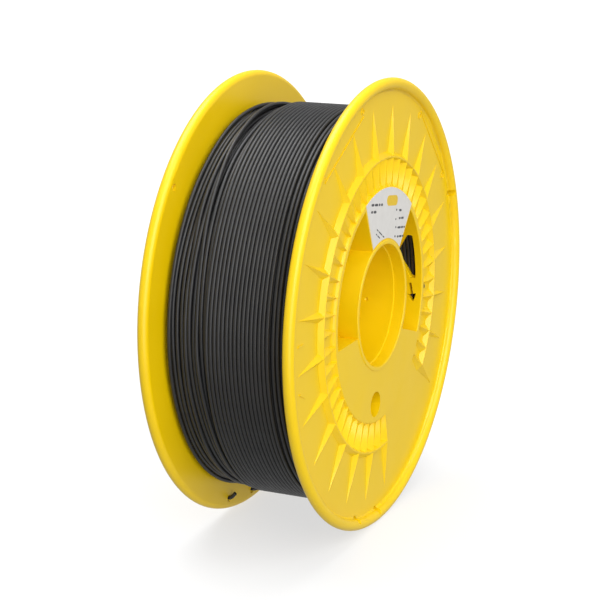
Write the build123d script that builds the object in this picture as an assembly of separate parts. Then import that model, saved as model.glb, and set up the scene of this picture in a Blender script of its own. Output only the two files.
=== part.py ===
"""Filament spool: two identical moulded halves, a paper label and one strand of filament wound on the core.

Frame: millimetres. The spool's axis is Y, and the labelled face looks towards -Y. Z is up. The origin is the
middle of the bore, half way between the two faces. The spool stands on its two rims at Z = -SPOOL_D / 2.

Angles are degrees clockwise from the top, seen from outside the front face. Inside the moulding's own
functions they are counted from the hub axis, the line through the label and the drive hole.
"""
from build123d import *
from build123d.topology import SkipClean

import os
from math import acos, atan2, cos, degrees, hypot, pi, radians, sin, sqrt

# Overall
SPOOL_D = 200.0
SPOOL_WIDTH = 70.0
HUB_ANGLE = 9.0             # the hub axis leans this far clockwise from the vertical

# Flange: heights are measured outwards from the spool's mid-plane
RIM_T = 5.0                 # thickness of the half-round bead at the rim
WEB_T = 1.7
RIM_COVE_R = 1.0            # small concave radius from the web up to the bead
RIM_SECTORS = 8
INNER_FACE = SPOOL_WIDTH / 2 - RIM_T
WEB_FACE = INNER_FACE + WEB_T
HUB_FACE = 33.3

# Core and bore
CORE_R = 50.0               # inside of the core wall
CORE_WALL = 3.0
LAND_R = 52.6               # outside of the land where the core wall meets the hub face
BORE_R = 26.7
MOUTH_R = 27.3
MOUTH_DEPTH = 5.0
BORE_TUBE_R = 29.2
LIP = 0.4                   # the bore tube stands this far above the hub face
LIP_ROUND = 0.35

# Hub sectors, hollow boxes between the bore tube and the core wall
FACE_T = 1.8
SIDE_WALL = 1.6
TOP_HALF_ANGLE = 33.0
LOWER_EDGE = ((25.4, -12.45), (50.6, -16.44))   # one straight edge of the lower sector
DRIVE_R = 44.3
DRIVE_HOLE_R = 5.75
DRIVE_WALL = 1.5

# Ring, teeth and ribs
RING_R = 65.3               # radius of the ring's crest
RING_TOP = 33.9
RING_CREST = 0.6
RING_IN = 1.2               # how far the ring's inner wall leans
RING_OUT = 1.9              # how far its outer wall leans
TOOTH_STEP = 7.5
TOOTH_TIP_R = 52.2
TOOTH_BASE = 3.9            # half width at the ring
TOOTH_TIP = 0.45
RIB_STEP = 15.0
RIB_TIP_R = 88.0
RIB_BASE = 3.2
RIB_TIP = 0.15
PLAIN_FROM = 120.0          # between these two ribs the web is plain
PLAIN_TO = 165.0
SINK = 0.4                  # features are sunk this far into the web so that they join it

# Small holes and marks
TIE_R = 95.2                # holes that hold the filament's end, cut into the foot of the bead
TIE_HOLE_R = 1.65
TIE_ANGLES = (59.5, 180.0 - 7.3, 180.0 + 7.3)
START_R = 56.6              # hole for the filament's first end
START_ANGLE = 85.2
START_HOLE_R = 1.35
MARK_R = 91.0               # two small raised rings on each side, with a raised guide line beside them
MARK_ANGLES = (22.3, 51.5)
MARK_SHIFTS = (-2.6, 2.2)   # the left line passes inside its rings and the right one outside
MARK_LINE_W = 0.6
MARK_H = 0.35
MARK_RING_R = 1.5
MARK_RING_WALL = 0.6
TICKS = ((84.1, 263.0, 0.0), (84.7, 248.5, 38.0))   # radius, angle, slant
TICK_L = 6.0
TICK_W = 0.9

# Window and arrow cut through the core wall: (degrees from the hub axis, distance from the mid-plane)
WINDOW = ((54.4, INNER_FACE), (79.8, INNER_FACE), (79.8, 27.5), (68.6, 21.4), (65.6, 21.4), (54.4, 27.5))
WINDOW_CORNER = 0.8
ARROW_AT = (87.9, 28.3)     # centre of the arrow
ARROW_L = 9.2
ARROW_HEAD = 3.9
ARROW_W = 4.2
ARROW_SHAFT = 1.3
ARROW_TILT = 13.0
DIMPLE_Z = 14.9             # small gate mark in the bore
DIMPLE_ANGLE = 92.0
DIMPLE_R = 1.0

# Joint between the halves
TONGUE_H = 2.0
TONGUE_T = 1.4
JOINT_GAP = 0.05
TONGUE_END = 4.0            # the tongue stops this many degrees short of the hub axis

# Label
LABEL_HALF_ANGLE = 31.8
LABEL_R = (29.9, 52.3)
LABEL_T = 0.15

# Filament
STRAND_D = 1.75
WOUND_HALF_W = 29.4
INNER_R = 84.6              # outside of the full inner layers
TOP_R = 88.0                # outside of the top layer
TOP_END = 8.0               # the top layer reaches from the front flange to this Y
LOOSE_R = 85.1              # outside of the last turns, beside the rear flange
FIT = 0.02


def polar(r, angle):
    """Point at radius r, at an angle clockwise from +Y."""
    return r * sin(radians(angle)), r * cos(radians(angle))


def turned(angle):
    """Placement that turns a feature built along +Y to an angle clockwise from it."""
    return Location((0, 0, 0), (0, 0, -angle))


def ring_solid(points, angle=360.0, start=0.0):
    """Solid of revolution about Z from (radius, height) points, from start clockwise over angle."""
    profile = make_face(Polyline(*points, close=True))
    solid = revolve(Plane.XZ * profile, Axis.Z, angle)
    # the profile starts on +X, which is 90 degrees clockwise from +Y, and revolves anticlockwise
    return Location((0, 0, 0), (0, 0, 90.0 - start - angle)) * solid


def web(edge_r):
    """Flat web between the core and the rim."""
    return ring_solid([(CORE_R, INNER_FACE), (edge_r, INNER_FACE), (edge_r, WEB_FACE), (CORE_R, WEB_FACE)])


def rim():
    """Half-round bead and the small cove at its foot, as sectors, and the radius where the cove starts."""
    bead = RIM_T / 2
    bead_at = (SPOOL_D / 2 - bead, INNER_FACE + bead)
    cove_z = WEB_FACE + RIM_COVE_R
    cove_r = bead_at[0] - sqrt((RIM_COVE_R + bead) ** 2 - (cove_z - bead_at[1]) ** 2)
    lean = degrees(atan2(bead_at[0] - cove_r, cove_z - bead_at[1]))
    profile = make_face([
        Line((cove_r, INNER_FACE), (bead_at[0], INNER_FACE)),
        CenterArc(bead_at, bead, -90, 180 + lean),
        CenterArc((cove_r, cove_z), RIM_COVE_R, -90, lean),
        Line((cove_r, WEB_FACE), (cove_r, INNER_FACE)),
    ])
    # a bead that closes on itself in one face gets a poor mesh
    span = 360.0 / RIM_SECTORS
    sector = revolve(Plane.XZ * profile, Axis.Z, span)
    return [turned(i * span) * sector for i in range(RIM_SECTORS)], cove_r


def core_wall():
    """Core wall with the land that meets the hub face, and its cove down to the trough."""
    outside = CORE_R + CORE_WALL
    return ring_solid([(CORE_R, 0), (outside, 0), (outside, WEB_FACE - SINK), (outside + 1.1, WEB_FACE - SINK),
                       (outside + 1.1, WEB_FACE), (outside, WEB_FACE + 0.45), (LAND_R, HUB_FACE - 0.3),
                       (LAND_R - 0.3, HUB_FACE), (CORE_R + 0.3, HUB_FACE), (CORE_R, HUB_FACE - 0.3)])


def bore_tube():
    """Bore tube with a wider mouth and a rounded lip."""
    top = HUB_FACE + LIP
    step = HUB_FACE - MOUTH_DEPTH
    r = LIP_ROUND
    k = r * (1 - cos(radians(45)))
    return ring_solid([(BORE_R, 0), (BORE_TUBE_R, 0), (BORE_TUBE_R, top - r), (BORE_TUBE_R - k, top - k),
                       (BORE_TUBE_R - r, top), (MOUTH_R + r, top), (MOUTH_R + k, top - k), (MOUTH_R, top - r),
                       (MOUTH_R, step), (BORE_R, step - 0.3)])


def top_sector_outline(inset=0.0):
    """Wedge of the upper hub sector; inset moves its two straight sides inwards."""
    far = 2 * CORE_R
    tip = inset / sin(radians(TOP_HALF_ANGLE))
    left = polar(far, -TOP_HALF_ANGLE)
    right = polar(far, TOP_HALF_ANGLE)
    return Pos(0, tip) * make_face(Polyline((0, 0), left, right, close=True))


def lower_sector_outline(inset=0.0):
    """Area under the lower hub sector's two straight edges; inset moves them down."""
    (x1, y1), (x2, y2) = LOWER_EDGE
    slope = (y2 - y1) / (x2 - x1)
    drop = inset * sqrt(1 + slope ** 2)
    far = 2 * CORE_R
    y_mid = y1 - slope * x1 - drop
    y_far = y_mid + slope * far
    return make_face(Polyline((0, y_mid), (far, y_far), (far, -far), (-far, -far), (-far, y_far), close=True))


def hub_sector(outline):
    """Hollow box between the bore tube and the core wall, closed by the hub face and open at the mid-plane."""
    weld = 0.5
    shell = (Circle(CORE_R + weld) - Circle(BORE_TUBE_R - weld)) & outline()
    hollow = (Circle(CORE_R) - Circle(BORE_TUBE_R)) & outline(SIDE_WALL)
    return extrude(shell, HUB_FACE) - extrude(hollow, HUB_FACE - FACE_T)


def spike(r_base, half_base, top_base, r_tip, half_tip, top_tip):
    """Ridge along +Y with a triangular section, from its base to its tip."""
    foot = WEB_FACE - SINK
    sections = []
    for r, half, top in ((r_base, half_base, top_base), (r_tip, half_tip, top_tip)):
        section = make_face(Polyline((-half, foot, 0), (half, foot, 0), (0, top, 0), close=True))
        # Plane.XZ maps a section's second coordinate to height
        sections.append(Pos(0, r, 0) * (Plane.XZ * section))
    return loft(sections, ruled=True)


def relief_angles(step):
    """Angles of the ribs or teeth, leaving the plain part of the web free."""
    count = round(360.0 / step)
    angles = [i * step for i in range(count)]
    return [a for a in angles if not PLAIN_FROM < a < PLAIN_TO]


def sunburst():
    """Ring with teeth inside it and ribs outside it."""
    foot = WEB_FACE - SINK
    lean_in = RING_IN * (1 + SINK / (RING_TOP - WEB_FACE))
    ring = ring_solid([(RING_R - lean_in, foot), (RING_R + RING_CREST + RING_OUT, foot),
                       (RING_R + RING_CREST + RING_OUT, WEB_FACE + 0.05), (RING_R + RING_CREST, RING_TOP),
                       (RING_R, RING_TOP)], 360 - (PLAIN_TO - PLAIN_FROM), PLAIN_TO)
    tooth = spike(RING_R + 0.1, TOOTH_BASE, RING_TOP - 0.05, TOOTH_TIP_R, TOOTH_TIP, HUB_FACE - 0.05)
    rib = spike(RING_R, RIB_BASE, RING_TOP + 0.1, RIB_TIP_R, RIB_TIP, WEB_FACE + 0.05)
    inner_rib = spike(RING_R + 0.1, 1.3, RING_TOP, TOOTH_TIP_R, 0.8, HUB_FACE - 0.05)
    teeth = [turned(a) * tooth for a in relief_angles(TOOTH_STEP)]
    ribs = [turned(a) * rib for a in relief_angles(RIB_STEP)]
    ends = [turned(a) * inner_rib for a in (PLAIN_FROM, PLAIN_TO)]
    return ring.fuse(*teeth, *ribs, *ends)


def on_core(angle, height):
    """Flat coordinates of a point on the unrolled inside of the core wall."""
    return radians(angle) * CORE_R, height


def core_cut(points, corner=0.0):
    """Cutter through the core wall for an outline given in unrolled coordinates."""
    centre = sum(x for x, _ in points) / len(points)
    face = make_face(Polyline(*[(x - centre, y) for x, y in points], close=True))
    if corner:
        face = fillet(face.vertices(), corner)
    # looking from the axis at the wall, the cutter stands on the tangent plane at its own middle
    angle = degrees(centre / CORE_R)
    cutter = extrude(Plane.XZ * face, 6, both=True)
    return turned(angle) * (Pos(0, CORE_R + CORE_WALL / 2, 0) * cutter)


def arrow_outline():
    """Arrow pointing clockwise, tilted towards the flange, in unrolled coordinates."""
    half = ARROW_L / 2
    neck = half - ARROW_HEAD
    w = ARROW_SHAFT / 2
    shape = [(-half, -w), (neck, -w), (neck, -ARROW_W / 2), (half, 0), (neck, ARROW_W / 2), (neck, w), (-half, w)]
    x0, y0 = on_core(*ARROW_AT)
    c = cos(radians(ARROW_TILT))
    s = sin(radians(ARROW_TILT))
    return [(x0 + x * c - y * s, y0 + x * s + y * c) for x, y in shape]


def through_hole(r, angle, radius, depth=40.0):
    """Cylinder along Z at a polar place, from the mid-plane outwards."""
    x, y = polar(r, angle)
    return Pos(x, y, 0) * extrude(Circle(radius), depth)


def marks():
    """Raised guide lines, the small rings at their ends, and two raised ticks."""
    foot = WEB_FACE - SINK
    rise = SINK + MARK_H
    solids = []
    for side, shift in zip((-1, 1), MARK_SHIFTS):
        ends = [polar(MARK_R, side * a) for a in MARK_ANGLES]
        length = hypot(ends[1][0] - ends[0][0], ends[1][1] - ends[0][1])
        outwards = polar(shift, side * (MARK_ANGLES[0] + MARK_ANGLES[1]) / 2)
        middle = ((ends[0][0] + ends[1][0]) / 2 + outwards[0], (ends[0][1] + ends[1][1]) / 2 + outwards[1])
        tilt = degrees(atan2(ends[1][1] - ends[0][1], ends[1][0] - ends[0][0]))
        line = extrude(Rectangle(length, MARK_LINE_W), rise)
        solids.append(Location((*middle, foot), (0, 0, tilt)) * line)
        ring = extrude(Circle(MARK_RING_R) - Circle(MARK_RING_R - MARK_RING_WALL), rise)
        solids += [Pos(x, y, foot) * ring for x, y in ends]
    for r, angle, slant in TICKS:
        tick = extrude(RectangleRounded(TICK_W, TICK_L, TICK_W / 2 - 0.01), rise)
        solids.append(Location((*polar(r, angle), foot), (0, 0, -angle - slant)) * tick)
    return solids


def joint_ring(gap=0.0):
    """Half ring on the parting plane: the tongue of one half, or with a gap the groove of the other."""
    inner = CORE_R + (CORE_WALL - TONGUE_T) / 2 - gap
    outer = inner + TONGUE_T + 2 * gap
    height = TONGUE_H + gap
    span = 180.0 - 2 * (TONGUE_END - gap)
    return ring_solid([(inner, 0), (outer, 0), (outer, height), (inner, height)], span, TONGUE_END - gap)


def moulding():
    """One half of the spool. Z points outwards from the mid-plane, and the hub axis is +Y."""
    sectors, cove_r = rim()
    body = web(cove_r).fuse(core_wall(), bore_tube(), hub_sector(top_sector_outline),
                            hub_sector(lower_sector_outline))
    body = body.fuse(through_hole(DRIVE_R, 180, DRIVE_HOLE_R + DRIVE_WALL, HUB_FACE), sunburst())
    cutters = [through_hole(DRIVE_R, 180, DRIVE_HOLE_R), through_hole(START_R, START_ANGLE, START_HOLE_R),
               core_cut([on_core(*p) for p in WINDOW], WINDOW_CORNER), core_cut(arrow_outline())]
    cutters += [through_hole(TIE_R, angle, TIE_HOLE_R) for angle in TIE_ANGLES]
    x, y = polar(BORE_R - DIMPLE_R / 3, DIMPLE_ANGLE)
    cutters.append(Pos(x, y, DIMPLE_Z) * Sphere(DIMPLE_R))
    # the tongue is on one side of the hub axis and the groove on the other, so two equal halves fit
    cutters.append(turned(180) * joint_ring(JOINT_GAP))
    tongue = mirror(joint_ring(), Plane.XY)
    # without the clean-up that would merge the rim's sectors again
    with SkipClean():
        return body.fuse(tongue, *sectors).fuse(*marks()).cut(*cutters)


def to_front(shape):
    """Place a shape built in the moulding's frame on the front of the spool."""
    return Location((0, 0, 0), (90, 0, 0)) * (turned(HUB_ANGLE) * shape)


def to_rear(shape):
    """Place it on the rear: turned half way round the hub axis."""
    return to_front(Location((0, 0, 0), (0, 180, 0)) * shape)


def label():
    """Paper sector on the upper hub sector."""
    far = 2 * CORE_R
    wedge = make_face(Polyline((0, 0), polar(far, -LABEL_HALF_ANGLE), polar(far, LABEL_HALF_ANGLE), close=True))
    sector = (Circle(LABEL_R[1]) - Circle(LABEL_R[0])) & wedge
    return Pos(0, 0, HUB_FACE) * extrude(sector, LABEL_T)


def sleeve(r_in, r_out, y_from, y_to):
    """Ring about the spool's axis between two places along it."""
    tube = extrude(Circle(r_out) - Circle(r_in), y_to - y_from)
    return Location((0, y_to, 0), (90, 0, 0)) * tube


def spool_point(r, angle, y):
    """Point in the spool's frame: radius, angle clockwise from the top seen from the front, and Y."""
    x, z = polar(r, angle)
    return x, y, z


def strand(points, radii):
    """Filament along straight runs joined by tangent arcs."""
    path = FilletPolyline(*points, radius=radii)
    section = Plane(origin=path @ 0, z_dir=path % 0) * Circle(STRAND_D / 2)
    solid = sweep(section, path=path)
    expected = pi * STRAND_D ** 2 / 4 * path.length
    print("strand length %.1f mm, volume ratio %.4f, radii %s" % (path.length, solid.volume / expected, radii))
    return solid


def tail():
    """Last end: off the winding, out through one hole of the rear flange and back in through the other."""
    start_r = LOOSE_R + STRAND_D / 2 + FIT
    out_angle = HUB_ANGLE + TIE_ANGLES[1]
    back_angle = HUB_ANGLE + TIE_ANGLES[2]
    leave_angle = out_angle - degrees(acos(start_r / TIE_R))
    inside = INNER_FACE - 2.4
    outside = SPOOL_WIDTH / 2 - STRAND_D / 2 - 0.08
    # the strand leans on the inner side of its holes, and outside them it passes beside the bead
    through_r = TIE_R - 0.4
    outside_r = TIE_R - 0.9
    points = [
        spool_point(start_r, leave_angle, 23.0),
        spool_point(through_r, out_angle, inside),
        spool_point(outside_r, out_angle, outside),
        spool_point(outside_r - 0.8, (out_angle + back_angle) / 2, outside),
        spool_point(outside_r, back_angle, outside),
        spool_point(through_r, back_angle, INNER_FACE - 1.2),
        spool_point(through_r - 2.6, back_angle + 0.2, INNER_FACE - 3.0),
    ]
    return strand(points, [2.6, 2.6, 12.0, 2.6, 2.0])


def start_end():
    """First end, seen in its hole beside the core."""
    outer = WEB_FACE + 0.3
    x, y = polar(START_R, START_ANGLE)
    return to_front(Pos(x, y, WOUND_HALF_W) * extrude(Circle(STRAND_D / 2), outer - WOUND_HALF_W))


half = moulding()
nodes = {
    "front_half": to_front(half),
    "rear_half": to_rear(half),
    "label": to_front(label()),
    "filament_inner_layers": sleeve(CORE_R + CORE_WALL + FIT, INNER_R, -WOUND_HALF_W, WOUND_HALF_W),
    "filament_top_layer": sleeve(INNER_R, TOP_R, -WOUND_HALF_W, TOP_END),
    "filament_outer_turns": sleeve(INNER_R, LOOSE_R, TOP_END, WOUND_HALF_W),
    "filament_tail": tail(),
    "filament_start": start_end(),
}

os.makedirs("parts", exist_ok=True)
for name, shape in nodes.items():
    export_step(shape, "parts/" + name + ".step")
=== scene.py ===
"""Looks of the filament spool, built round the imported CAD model.

Frame: metres, as in the CAD model. The spool's axis is Y, the labelled face looks towards -Y, and Z is up.
Angles are degrees clockwise from the top, seen from the labelled side, and go on past 360 along a strand.
Lengths in the tables are millimetres.
"""
import math

import bpy
import numpy as np
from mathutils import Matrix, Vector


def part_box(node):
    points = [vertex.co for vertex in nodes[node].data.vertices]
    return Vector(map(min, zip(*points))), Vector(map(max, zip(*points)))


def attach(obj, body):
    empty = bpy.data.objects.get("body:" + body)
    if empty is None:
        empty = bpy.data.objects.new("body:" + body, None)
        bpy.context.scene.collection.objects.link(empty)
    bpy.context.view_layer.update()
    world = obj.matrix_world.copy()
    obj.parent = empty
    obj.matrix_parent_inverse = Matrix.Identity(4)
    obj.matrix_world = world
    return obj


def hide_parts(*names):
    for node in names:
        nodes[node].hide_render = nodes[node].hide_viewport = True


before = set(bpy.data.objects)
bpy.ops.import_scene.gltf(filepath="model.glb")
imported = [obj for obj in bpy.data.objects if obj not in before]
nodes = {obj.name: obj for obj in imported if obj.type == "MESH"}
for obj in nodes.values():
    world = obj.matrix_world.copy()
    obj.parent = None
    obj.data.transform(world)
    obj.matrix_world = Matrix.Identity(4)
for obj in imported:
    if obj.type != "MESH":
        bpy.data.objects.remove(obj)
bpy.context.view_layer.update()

MM = 0.001
HUB_ANGLE = 9.0                 # the hub axis leans this far from the vertical

# Camera
CAMERA_TARGET = (-0.00271, 0.00539, -0.00099)
CAMERA_AZIMUTH = -65.69         # 0 looks along +Y
CAMERA_ELEVATION = 14.43
CAMERA_DISTANCE = 0.7815
LENS = 104.44
SENSOR = 36.0

# Filament
STRAND_D = 1.75 * MM
PITCH = 1.826 * MM              # from one turn to the next along the axis
LAYER = math.sqrt(STRAND_D ** 2 - (PITCH / 2) ** 2)   # rise of a strand that lies in the groove below it
SIDES = 10
STEPS = 120                     # cross-sections in a turn
SEAM = 205.0                    # a turn starts and ends here
SWAY = 0.035 * MM               # unevenness of the regular turns

# A regular turn runs true for most of the way round and crosses over to the next place in this stretch
CROSS_FROM = 290.0
CROSS_TO = 340.0
TOP_TURNS = 16
TOP_LAST = 8.98                 # place of the top layer's last turn, before it crosses over

# Where the two layers under the top one end at the rear, from the top layer's last turn
LOWEST_EDGE = -0.9
MIDDLE_EDGE = -0.1
REAR_EDGE_TURNS = 3             # so many turns of those layers are drawn at either edge, where they show
FRONT_EDGE_TURNS = 5

# The uneven turns follow in tables of (angle, place along the axis).
# To every place, EDGE_SHIFT is added in the tables for the rear and FRONT_SHIFT in the one for the front.
EDGE_SHIFT = 0.6
FRONT_SHIFT = 1.0
LOOSE_PITCH = 1.9               # from one turn of a table to the next
# Turns under the loose end, beside the rear flange
LOWER_TURNS = (
    ((205, 10.2), (230, 9.9), (265, 9.8), (285, 10.0), (305, 11.2), (320, 11.8), (335, 11.4), (365, 11.0)),
    ((205, 11.9), (230, 11.7), (265, 11.5), (285, 12.0), (305, 13.2), (325, 14.1), (345, 12.9), (365, 13.0)),
    ((205, 15.4), (225, 15.0), (240, 14.4), (265, 15.7), (285, 15.7), (305, 16.7), (330, 16.4), (365, 15.2)),
    ((205, 17.5), (225, 17.0), (240, 16.3), (265, 17.6), (285, 17.3), (305, 16.9), (330, 17.9), (365, 17.2)),
    ((205, 18.6), (225, 18.1), (245, 18.7), (265, 19.0), (285, 19.1), (305, 19.0), (325, 18.5), (345, 17.6),
     (365, 19.2)),
    ((205, 20.8), (225, 20.5), (245, 21.0), (265, 20.9), (285, 21.5), (315, 20.5), (340, 20.4), (365, 21.0)),
    ((205, 23.2), (225, 23.3), (245, 23.1), (265, 23.3), (285, 23.6), (315, 22.3), (340, 22.1), (365, 22.8)),
    ((205, 25.6), (225, 25.5), (245, 24.9), (265, 25.3), (285, 25.7), (315, 24.2), (340, 24.0), (365, 24.7)),
)
# Where a lower turn lies higher than its neighbours, in layers: (turn, (angle, layers) ...)
LOWER_LIFTS = (
    (0, ((250, 0.0), (300, 1.0), (365, 1.0), (480, 0.0))),
    (1, ((250, 0.0), (300, 1.0), (365, 1.0), (480, 0.0))),
)
# Turns of the top layer's beginning, beside the front flange
FIRST_TURNS = (
    ((205, -29.0), (245, -29.0), (285, -29.0), (305, -28.6), (320, -27.6), (335, -26.8), (365, -26.6)),
    ((205, -26.6), (245, -26.8), (285, -27.0), (305, -26.4), (320, -25.2), (335, -24.2), (365, -23.8)),
    ((205, -23.6), (245, -24.0), (285, -23.7), (305, -23.0), (320, -22.4), (335, -21.9), (365, -21.3)),
    ((205, -21.4), (245, -21.9), (285, -21.9), (305, -21.3), (320, -20.6), (335, -20.0), (365, -19.4)),
)
# The last two turns, from the top layer's edge over the lower turns to the rear flange
LAST_TURNS = (
    ((205, 12.2), (225, 11.9), (245, 11.7), (255, 12.4), (265, 13.5), (285, 14.0), (305, 15.2), (325, 16.4),
     (345, 17.1), (365, 17.0), (420, 18.2), (500, 22.0)),
    ((565, 26.6), (610, 26.7), (640, 26.2), (665, 25.9), (700, 25.6), (725, 24.2), (760, 23.4), (820, 22.6),
     (878, 23.0)),
)
OUT_ANGLE = HUB_ANGLE + 180.0 - 7.3
BACK_ANGLE = HUB_ANGLE + 180.0 + 7.3

# The winding's radius is least near the top and most near the bottom: half the difference, the angle where it
# is least, and how far the middle value lies under the CAD sleeves
UNROUND = 0.8 * MM
UNROUND_ANGLE = 15.0
UNROUND_MEAN = 0.1 * MM

# Stretches of a turn, in degrees, over which a strand's line is smoothed
REGULAR_EASE = 24
TABLE_EASE = 26
LAST_EASE = 22
BRIDGE_EASE = 20

GAP = 0.02 * MM                 # keeps faces that would touch apart
SLEEVE_OVERLAP = 0.2 * MM       # the sleeve reaches this far into the turns that lie on it
FIRST_TURNS_SUNK = 0.3 * MM     # the first turns lie this much deeper than the top layer
LAST_TURNS_LIFT = 0.6           # the last two turns lie at least so many layers above the lowest level
FLANGE_T = 5.0 * MM             # from the web's inner face to the plane of the rim
TAIL_CLEARANCE = 0.08 * MM      # between the tail and the plane of the rear face

# Label print, in millimetres
WORD_GAP = 0.7
TITLE_H = 1.1
LINE_H = 0.95
SMALL_H = 0.6
SIDE_TILT = -31.0               # lean of the two short lines at the left
PRINT_T = 0.02 * MM

rng = np.random.default_rng(11)


# ---------------------------------------------------------------- frame sizes
def outer_radius(node):
    """Radius of a round CAD node about the spool's axis."""
    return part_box(node)[1].x


TOP_LEVEL = outer_radius("filament_top_layer") - STRAND_D / 2
LOWER_LEVEL = TOP_LEVEL - 2 * LAYER
UNDER_LEVEL = TOP_LEVEL - 3 * LAYER
WOUND_HALF_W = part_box("filament_inner_layers")[1].y
FLANGE_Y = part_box("rear_half")[1].y
LABEL_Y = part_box("label")[0].y
FLOOR_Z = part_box("front_half")[0].z
CORE_OUTER_R = 53.02 * MM
THROUGH_R = 94.8 * MM            # the tail inside its holes
OUTSIDE_R = 94.3 * MM            # and outside the flange, beside the bead


# ---------------------------------------------------------------- materials
def new_material(name):
    """Material with an empty tree apart from the Principled shader and its output."""
    material = bpy.data.materials.new(name)
    material.use_nodes = True
    tree = material.node_tree
    return material, tree, tree.nodes["Principled BSDF"]


def noise(tree, scale, detail=3.0, stretch=(1, 1, 1)):
    """Noise in the frame's own coordinates."""
    coordinates = tree.nodes.new("ShaderNodeTexCoord")
    mapping = tree.nodes.new("ShaderNodeMapping")
    mapping.inputs["Scale"].default_value = stretch
    texture = tree.nodes.new("ShaderNodeTexNoise")
    texture.inputs["Scale"].default_value = scale
    texture.inputs["Detail"].default_value = detail
    tree.links.new(coordinates.outputs["Object"], mapping.inputs["Vector"])
    tree.links.new(mapping.outputs["Vector"], texture.inputs["Vector"])
    return texture.outputs["Fac"]


def colour_from(tree, factor, dark, light, socket):
    """Colour that wanders between two near tones."""
    ramp = tree.nodes.new("ShaderNodeValToRGB")
    ramp.color_ramp.elements[0].position = 0.3
    ramp.color_ramp.elements[1].position = 0.7
    ramp.color_ramp.elements[0].color = (*dark, 1)
    ramp.color_ramp.elements[1].color = (*light, 1)
    tree.links.new(factor, ramp.inputs["Fac"])
    tree.links.new(ramp.outputs["Color"], socket)


def range_from(tree, factor, low, high, socket):
    """Number that wanders between two values."""
    spread = tree.nodes.new("ShaderNodeMapRange")
    spread.inputs["From Min"].default_value = 0.3
    spread.inputs["From Max"].default_value = 0.7
    spread.inputs["To Min"].default_value = low
    spread.inputs["To Max"].default_value = high
    tree.links.new(factor, spread.inputs["Value"])
    tree.links.new(spread.outputs["Result"], socket)


def bump_from(tree, factor, depth, strength, shader):
    """Fine surface relief."""
    bump = tree.nodes.new("ShaderNodeBump")
    bump.inputs["Distance"].default_value = depth
    bump.inputs["Strength"].default_value = strength
    tree.links.new(factor, bump.inputs["Height"])
    tree.links.new(bump.outputs["Normal"], shader.inputs["Normal"])


def spool_plastic():
    """Satin yellow moulded plastic with faint flow clouds and orange peel."""
    material, tree, shader = new_material("spool_plastic")
    colour_from(tree, noise(tree, 28.0), (0.85, 0.57, 0.0001), (0.88, 0.59, 0.0004),
                shader.inputs["Base Color"])
    range_from(tree, noise(tree, 60.0), 0.30, 0.40, shader.inputs["Roughness"])
    bump_from(tree, noise(tree, 1400.0, 2.0), 0.02 * MM, 0.25, shader)
    shader.inputs["Specular IOR Level"].default_value = 0.5
    return material


def filament_plastic():
    """Dark grey extruded filament: fine die lines along the strand and small changes of tone."""
    material, tree, shader = new_material("filament")
    colour_from(tree, noise(tree, 90.0), (0.015, 0.015, 0.016), (0.021, 0.021, 0.022),
                shader.inputs["Base Color"])
    range_from(tree, noise(tree, 300.0), 0.34, 0.46, shader.inputs["Roughness"])
    bump_from(tree, noise(tree, 2600.0, 2.0), 0.01 * MM, 0.3, shader)
    shader.inputs["Specular IOR Level"].default_value = 0.5
    return material


def label_paper():
    """White coated paper with a faint fibre grain."""
    material, tree, shader = new_material("label_paper")
    colour_from(tree, noise(tree, 240.0), (0.67, 0.655, 0.625), (0.71, 0.695, 0.665),
                shader.inputs["Base Color"])
    range_from(tree, noise(tree, 500.0), 0.42, 0.52, shader.inputs["Roughness"])
    bump_from(tree, noise(tree, 3000.0, 4.0), 0.01 * MM, 0.2, shader)
    return material


def print_ink(name, dark, light):
    """Ink with uneven cover."""
    material, tree, shader = new_material(name)
    colour_from(tree, noise(tree, 1800.0), dark, light, shader.inputs["Base Color"])
    range_from(tree, noise(tree, 900.0), 0.45, 0.55, shader.inputs["Roughness"])
    return material


def floor_surface():
    """Plain white studio floor. It glows, and more far away, so that it stays white up to the edges."""
    material, tree, shader = new_material("studio_floor")
    shader.inputs["Base Color"].default_value = (0.3, 0.3, 0.3, 1)
    shader.inputs["Roughness"].default_value = 0.9
    shader.inputs["Specular IOR Level"].default_value = 0.0
    shader.inputs["Emission Color"].default_value = (1, 1, 1, 1)
    coordinates = tree.nodes.new("ShaderNodeTexCoord")
    distance = tree.nodes.new("ShaderNodeVectorMath")
    distance.operation = "LENGTH"
    spread = tree.nodes.new("ShaderNodeMapRange")
    spread.inputs["From Min"].default_value = 0.3
    spread.inputs["From Max"].default_value = 2.0
    spread.inputs["To Min"].default_value = 0.66
    spread.inputs["To Max"].default_value = 1.0
    tree.links.new(coordinates.outputs["Object"], distance.inputs[0])
    tree.links.new(distance.outputs["Value"], spread.inputs["Value"])
    tree.links.new(spread.outputs["Result"], shader.inputs["Emission Strength"])
    return material


# ---------------------------------------------------------------- meshes
def mesh_object(name, points, faces, material, smooth=True):
    """Object from points and faces, already in the frame's coordinates."""
    mesh = bpy.data.meshes.new(name)
    mesh.from_pydata([tuple(p) for p in points], [], faces)
    mesh.validate()
    if smooth:
        mesh.shade_smooth()
    mesh.materials.append(material)
    obj = bpy.data.objects.new(name, mesh)
    bpy.context.scene.collection.objects.link(obj)
    return obj


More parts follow.
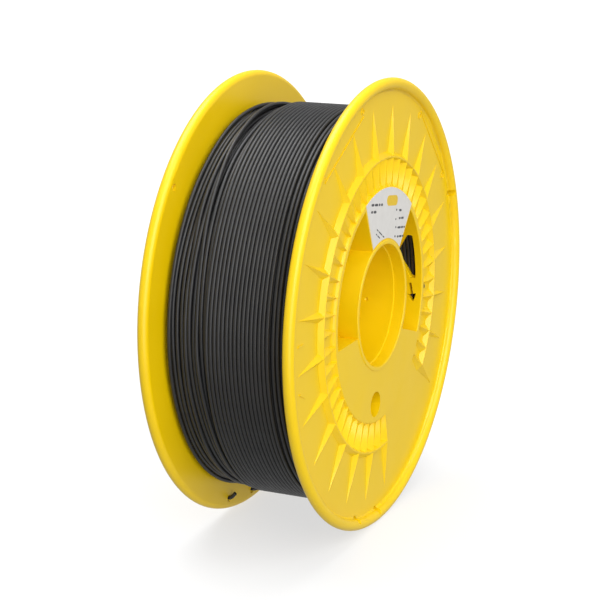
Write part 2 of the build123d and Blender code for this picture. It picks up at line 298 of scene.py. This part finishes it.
class Builder:
    """Collects the closed shells of one piece."""

    def __init__(self):
        self.points = []
        self.faces = []

    def shell(self, rings, closed=False, open_end=False):
        """Skin over a row of rings of points, capped at its ends unless it closes on itself."""
        first = len(self.points)
        count = len(rings)
        sides = len(rings[0])
        for ring in rings:
            self.points.extend(ring)
        spans = count if closed else count - 1
        for i in range(spans):
            a = first + i * sides
            b = first + (i + 1) % count * sides
            for j in range(sides):
                k = (j + 1) % sides
                self.faces.append((a + j, a + k, b + k, b + j))
        if not closed:
            self.faces.append(tuple(range(first + sides - 1, first - 1, -1)))
        if not closed and not open_end:
            self.faces.append(tuple(range(first + (count - 1) * sides, first + count * sides)))

    def make(self, name, material, smooth=True):
        return mesh_object(name, self.points, self.faces, material, smooth)


def strand_rings(path):
    """Round sections, square to a path of points."""
    path = np.asarray(path)
    along = np.gradient(path, axis=0)
    along /= np.linalg.norm(along, axis=1)[:, None]
    side = np.array([0.0, 1.0, 0.0]) - along * along[:, 1:2]
    weak = np.linalg.norm(side, axis=1) < 0.35
    side[weak] = np.cross(along[weak], (1.0, 0.0, 0.0))
    if weak.any():
        # carry the side direction along, so the section doesn't twist where the path turns
        for i in range(1, len(path)):
            side[i] = side[i - 1] - along[i] * (side[i - 1] @ along[i])
    side /= np.linalg.norm(side, axis=1)[:, None]
    other = np.cross(along, side)
    rings = []
    for p, u, v in zip(path, side, other):
        ring = [p + STRAND_D / 2 * (math.cos(t) * u + math.sin(t) * v)
                for t in np.arange(SIDES) * 2 * math.pi / SIDES]
        rings.append(ring)
    return rings


# ---------------------------------------------------------------- winding
def unroundness(angles):
    """The winding is slightly fuller at the bottom than at the top."""
    return -UNROUND * np.cos(np.radians(angles - UNROUND_ANGLE)) - UNROUND_MEAN


def place(angles, radii, ys):
    """Points of a path about the spool's axis."""
    turn = np.radians(angles)
    full = radii + unroundness(angles)
    return np.stack([full * np.sin(turn), ys, full * np.cos(turn)], axis=1)


def eased(values, degrees_wide):
    """Running average over a stretch of the turn, with the ends kept."""
    half = max(1, round(degrees_wide * STEPS / 720.0))
    window = np.hanning(2 * half + 3)[1:-1]
    before = 2 * values[0] - values[half:0:-1]
    after = 2 * values[-1] - values[-2:-half - 2:-1]
    padded = np.concatenate([before, values, after])
    return np.convolve(padded, window / window.sum(), "valid")


def sway(angles):
    """Small unevenness of a strand, smooth along it."""
    total = np.zeros_like(angles)
    for waves in (2, 3, 5, 8):
        total += np.sin(np.radians(angles) * waves * rng.uniform(0.8, 1.2) + rng.uniform(0, 2 * math.pi))
    return total * SWAY / 2


def turn_angles(turns):
    return SEAM + np.arange(turns * STEPS + 1) * 360.0 / STEPS


def regular(turns, last_y):
    """Angles and places of a regular layer, whose last turn is at last_y before it crosses over."""
    angles = turn_angles(turns)
    whole, part = np.divmod(angles - SEAM, 360.0)
    crossed = np.clip((part + SEAM - CROSS_FROM) / (CROSS_TO - CROSS_FROM), 0, 1)
    places = last_y - (turns - 1 - whole) * PITCH + crossed * PITCH
    # the very last sample belongs to the next turn's start, which is the same place
    places[-1] = last_y + PITCH
    return angles, eased(places, REGULAR_EASE) + sway(angles)


def by_hand(tables, shift):
    """Angles and places of neighbouring turns given as tables; each goes on into the next."""
    points = []
    for i, table in enumerate(tables):
        points += [(angle + 360.0 * i, y) for angle, y in table]
    # the last turn comes round to its own start, one place further along
    first_angle, first_y = tables[-1][0]
    points.append((first_angle + 360.0 * len(tables), first_y + LOOSE_PITCH))
    angles = turn_angles(len(tables))
    return angles, eased((np.interp(angles, *zip(*points)) + shift) * MM, TABLE_EASE)


def in_turns(values):
    """Rows of one turn each, whose last sample is the next row's first."""
    turns = (len(values) - 1) // STEPS
    return [values[i * STEPS:(i + 1) * STEPS + 1] for i in range(turns)]


def settled(ys, level, below):
    """Radius along a strand that lies on a level, and on the strands below where it crosses them.

    below is a list of (places, radii), a turn each. The rows of one strand also carry its own earlier turns.
    """
    done = []
    radii = np.full(len(ys), float(level))
    for i, row in enumerate(in_turns(ys)):
        r = np.full(STEPS + 1, float(level))
        for other_y, other_r in below + done:
            lift = np.sqrt(np.clip(STRAND_D ** 2 - (row - other_y) ** 2, 0, None))
            r = np.maximum(r, np.where(lift > 0, other_r + lift, 0))
        done.append((row, r))
        radii[i * STEPS:(i + 1) * STEPS + 1] = r
    return radii


def bridged(radii):
    """A strand is stiff: it spans the dips between the strands it lies on."""
    reach = 3
    padded = np.pad(radii, reach, mode="edge")
    widest = np.max([padded[i:i + len(radii)] for i in range(2 * reach + 1)], axis=0)
    return eased(widest, BRIDGE_EASE)


def add_strand(builder, angles, radii, ys):
    builder.shell(strand_rings(place(angles, radii, ys)))


def wound_layers():
    """The inner layers: a sleeve, and under it the first turns on the core."""
    builder = Builder()
    angles = np.arange(STEPS) * 360.0 / STEPS
    inner = CORE_OUTER_R + STRAND_D
    outer = UNDER_LEVEL - STRAND_D / 2 + SLEEVE_OVERLAP
    rings = []
    for angle in angles:
        s = math.sin(math.radians(angle))
        c = math.cos(math.radians(angle))
        edge = outer + float(unroundness(np.array([angle]))[0])
        section = ((inner, -WOUND_HALF_W), (inner, WOUND_HALF_W),
                   (edge, WOUND_HALF_W), (edge, -WOUND_HALF_W))
        rings.append([(r * s, y, r * c) for r, y in section])
    builder.shell(rings, closed=True)
    first_turns = int(2 * (WOUND_HALF_W - STRAND_D / 2) / PITCH)
    helix = turn_angles(first_turns)
    ys = np.linspace(-WOUND_HALF_W + STRAND_D / 2, WOUND_HALF_W - STRAND_D / 2, len(helix))
    turn = np.radians(helix)
    radius = CORE_OUTER_R + STRAND_D / 2 + GAP
    core_path = np.stack([radius * np.sin(turn), ys, radius * np.cos(turn)], axis=1)
    builder.shell(strand_rings(core_path))
    return builder


def under_layer():
    """A full layer of turns under everything that shows."""
    turns = int(2 * (WOUND_HALF_W - STRAND_D) / PITCH)
    angles, ys = regular(turns, WOUND_HALF_W - STRAND_D / 2 - PITCH)
    return angles, np.full(len(angles), UNDER_LEVEL), ys


def build_winding(material):
    """All turns as three pieces; gives the last two points of the strand's line, where the tail goes on."""
    core = wound_layers()
    angles, radii, ys = under_layer()
    under = list(zip(in_turns(ys), in_turns(radii)))
    add_strand(core, angles, radii, ys)

    # two more full layers lie under the top one; only their edges show
    top = Builder()
    front = (TOP_TURNS - 1) * PITCH / MM
    for level, last in ((LOWER_LEVEL, TOP_LAST + LOWEST_EDGE), (LOWER_LEVEL + LAYER, TOP_LAST + MIDDLE_EDGE)):
        for turns, place_of_last in ((REAR_EDGE_TURNS, last), (FRONT_EDGE_TURNS, last - front)):
            a, y = regular(turns, place_of_last * MM)
            add_strand(top, a, np.full(len(a), level), y)
    a, y = regular(TOP_TURNS, TOP_LAST * MM)
    add_strand(top, a, np.full(len(a), TOP_LEVEL), y)
    first_a, first_y = by_hand(FIRST_TURNS, FRONT_SHIFT)
    add_strand(top, first_a, bridged(settled(first_y, TOP_LEVEL - FIRST_TURNS_SUNK, [])), first_y)

    loose = Builder()
    lower_a, lower_y = by_hand(LOWER_TURNS, EDGE_SHIFT)
    lower_r = settled(lower_y, LOWER_LEVEL, under)
    for turn, lifts in LOWER_LIFTS:
        lower_r += np.interp(lower_a - 360.0 * turn, *zip(*lifts), left=0.0, right=0.0) * LAYER
    add_strand(loose, lower_a, bridged(lower_r), lower_y)
    lower = list(zip(in_turns(lower_y), in_turns(lower_r)))

    points = [p for table in LAST_TURNS for p in table]
    last_a = np.arange(SEAM, points[-1][0] + 0.1, 360.0 / STEPS)
    last_y = eased((np.interp(last_a, *zip(*points)) + EDGE_SHIFT) * MM, LAST_EASE)
    last_r = np.empty(len(last_a))
    for start in range(0, len(last_a), STEPS):
        part = slice(start, min(start + STEPS + 1, len(last_a)))
        size = part.stop - part.start
        r = np.full(size, LOWER_LEVEL + LAST_TURNS_LIFT * LAYER)
        for other_y, other_r in lower + under:
            lift = np.sqrt(np.clip(STRAND_D ** 2 - (last_y[part] - other_y[:size]) ** 2, 0, None))
            r = np.maximum(r, np.where(lift > 0, other_r[:size] + lift, 0))
        last_r[part] = r
    last_r = bridged(last_r)
    add_strand(loose, last_a, last_r, last_y)

    body = core.make("wound_layers", material)
    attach(body, "root")
    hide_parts("filament_inner_layers")
    cap = top.make("wound_top_layer", material)
    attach(cap, "root")
    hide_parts("filament_top_layer")
    turns = loose.make("wound_last_turns", material)
    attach(turns, "root")
    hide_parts("filament_outer_turns")
    return place(last_a[-2:], last_r[-2:], last_y[-2:])


# ---------------------------------------------------------------- tail
def spool_point(r, angle, y):
    turn = math.radians(angle)
    return np.array([r * math.sin(turn), y, r * math.cos(turn)])


def smooth_path(points):
    """Points along a smooth NURBS curve that has a short list of points as its control points."""
    curve = bpy.data.curves.new("path", "CURVE")
    curve.dimensions = "3D"
    spline = curve.splines.new("NURBS")
    spline.points.add(len(points) - 1)
    for control, point in zip(spline.points, points):
        control.co = (*point, 1.0)
    spline.order_u = 3
    spline.use_endpoint_u = True
    spline.resolution_u = 10
    holder = bpy.data.objects.new("path", curve)
    mesh = bpy.data.meshes.new_from_object(holder)
    path = [tuple(vertex.co) for vertex in mesh.vertices]
    bpy.data.objects.remove(holder)
    bpy.data.curves.remove(curve)
    bpy.data.meshes.remove(mesh)
    return path


def build_tail(material, end_of_winding):
    """Last end: out through one hole of the rear flange, along it and back in through the other."""
    inside = FLANGE_Y - FLANGE_T
    outside = FLANGE_Y - STRAND_D / 2 - TAIL_CLEARANCE
    before, start = end_of_winding
    lead = start + (start - before)
    half_way = (OUT_ANGLE + BACK_ANGLE) / 2
    points = [
        start,
        lead,
        spool_point(THROUGH_R, OUT_ANGLE - 4.0, inside - 3.4 * MM),
        spool_point(THROUGH_R, OUT_ANGLE, inside - 1.6 * MM),
        spool_point(THROUGH_R, OUT_ANGLE, outside - 2.4 * MM),
        spool_point(OUTSIDE_R, OUT_ANGLE, outside),
        spool_point(OUTSIDE_R - 0.2 * MM, OUT_ANGLE + 2.0, outside),
        spool_point(OUTSIDE_R - 0.6 * MM, half_way, outside),
        spool_point(OUTSIDE_R - 0.2 * MM, BACK_ANGLE - 2.0, outside),
        spool_point(OUTSIDE_R, BACK_ANGLE, outside),
        spool_point(THROUGH_R, BACK_ANGLE, outside - 2.4 * MM),
        spool_point(THROUGH_R, BACK_ANGLE, inside - 1.2 * MM),
        spool_point(THROUGH_R - 2.6 * MM, BACK_ANGLE + 0.2, inside - 3.0 * MM),
    ]
    builder = Builder()
    builder.shell(strand_rings(smooth_path(points)))
    piece = builder.make("filament_tail_end", material)
    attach(piece, "root")
    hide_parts("filament_tail")


# ---------------------------------------------------------------- label print
def bar_rings(x, z, length, height, tilt, y0, y1):
    """Two rounded outlines, one behind the other, of a printed bar whose left end is at x, z."""
    corner = height / 2
    outline = []
    for centre, start in ((length - corner, -90), (corner, 90)):
        for i in range(7):
            t = math.radians(start + 30 * i)
            outline.append((centre + corner * math.cos(t), corner * math.sin(t)))
    c = math.cos(math.radians(tilt))
    s = math.sin(math.radians(tilt))
    placed = [((x + u * c - v * s) * MM, (z + u * s + v * c) * MM) for u, v in outline]
    return [[(px, y, pz) for px, pz in placed] for y in (y0, y1)]


def words(builder, x, z, lengths, height, tilt):
    """Row of plain bars in place of a line of print."""
    for length in lengths:
        builder.shell(bar_rings(x, z, length, height, tilt, LABEL_Y, LABEL_Y - PRINT_T))
        x += (length + WORD_GAP) * math.cos(math.radians(tilt))
        z += (length + WORD_GAP) * math.sin(math.radians(tilt))


def build_label(paper, ink, patch_ink):
    """Plain bars and a colour patch on the paper: no lettering."""
    nodes["label"].data.materials.clear()
    nodes["label"].data.materials.append(paper)
    level = -HUB_ANGLE
    rows = Builder()
    words(rows, -14.4, 47.6, (3.2, 3.8, 2.0, 2.2), TITLE_H, level)
    words(rows, -14.8, 44.6, (2.2, 3.2), TITLE_H, level)
    for x, z, lengths in ((14.8, 40.3, (1.3,)), (18.6, 39.4, (2.9,)),
                          (14.0, 36.2, (1.1,)), (18.2, 35.9, (2.2, 3.2)),
                          (14.0, 32.6, (1.2,)), (16.8, 31.9, (3.8, 2.2, 1.8)),
                          (13.0, 28.6, (1.5,)), (16.2, 27.9, (2.0, 3.0, 1.8))):
        words(rows, x, z, lengths, LINE_H, level)
    words(rows, -8.0, 35.8, (2.2, 4.4, 2.2), SMALL_H, SIDE_TILT)
    words(rows, -9.0, 34.0, (1.4, 3.4), SMALL_H, SIDE_TILT)
    print_rows = rows.make("label_print_rows", ink, smooth=False)
    patch = Builder()
    patch.shell(bar_rings(3.6, 46.4, 13.2, 4.6, level, LABEL_Y, LABEL_Y - PRINT_T))
    print_patch = patch.make("label_print_patch", patch_ink, smooth=False)
    for piece in (print_rows, print_patch):
        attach(piece, "root")


# ---------------------------------------------------------------- studio
def build_camera():
    azimuth = math.radians(CAMERA_AZIMUTH)
    elevation = math.radians(CAMERA_ELEVATION)
    back = (math.sin(azimuth) * math.cos(elevation), -math.cos(azimuth) * math.cos(elevation),
            math.sin(elevation))
    data = bpy.data.cameras.new("camera")
    data.lens = LENS
    data.sensor_width = SENSOR
    camera = bpy.data.objects.new("camera", data)
    camera.location = [t + CAMERA_DISTANCE * b for t, b in zip(CAMERA_TARGET, back)]
    camera.rotation_euler = (math.pi / 2 - elevation, 0, azimuth)
    bpy.context.scene.collection.objects.link(camera)
    bpy.context.scene.camera = camera


def area_light(name, place_at, size, watts, aim=(0, 0, 0)):
    data = bpy.data.lights.new(name, "AREA")
    data.shape = "DISK"
    data.size = size
    data.energy = watts
    lamp = bpy.data.objects.new(name, data)
    lamp.location = place_at
    direction = np.array(aim) - np.array(place_at)
    flat = math.hypot(direction[0], direction[1])
    lamp.rotation_euler = (math.atan2(flat, -direction[2]), 0, math.atan2(-direction[0], direction[1]))
    bpy.context.scene.collection.objects.link(lamp)


def build_studio():
    """White sweep that only the camera sees, an even grey surround and three large soft lights."""
    sweep = Builder()
    bend = 1.5
    profile = [(0.02, 0.0), (0.5, 0.0), (2.0, 0.0), (5.0, 0.0)]
    for lift in range(15, 91, 15):
        t = math.radians(lift)
        profile.append((5.0 + bend * math.sin(t), bend * (1 - math.cos(t))))
    profile.append((5.0 + bend, 5.0))
    around = np.radians(np.arange(0, 360, 5.0))
    rings = [[(r * math.sin(t), r * math.cos(t), FLOOR_Z + h) for t in around] for r, h in profile]
    sweep.shell(rings, open_end=True)
    floor = sweep.make("studio_sweep", floor_surface())
    floor.visible_diffuse = False
    floor.visible_glossy = False
    floor.visible_shadow = False
    world = bpy.data.worlds.new("studio")
    world.use_nodes = True
    background = world.node_tree.nodes["Background"]
    background.inputs["Color"].default_value = (1, 1, 1, 1)
    background.inputs["Strength"].default_value = 0.45
    bpy.context.scene.world = world
    bpy.context.scene.view_settings.view_transform = "Standard"
    area_light("key", (-1.15, -1.5, 1.5), 2.2, 40)
    area_light("fill", (-1.5, -1.2, 0.05), 1.6, 13)
    area_light("overhead", (0.15, 0.35, 1.9), 1.9, 38)


build_camera()
build_studio()
yellow = spool_plastic()
strand = filament_plastic()
for name in ("front_half", "rear_half"):
    nodes[name].data.materials.clear()
    nodes[name].data.materials.append(yellow)
nodes["filament_start"].data.materials.clear()
nodes["filament_start"].data.materials.append(strand)
build_tail(strand, build_winding(strand))
build_label(label_paper(), print_ink("label_ink", (0.05, 0.05, 0.055), (0.09, 0.09, 0.095)),
            print_ink("label_patch_ink", (0.72, 0.47, 0.02), (0.80, 0.55, 0.03)))
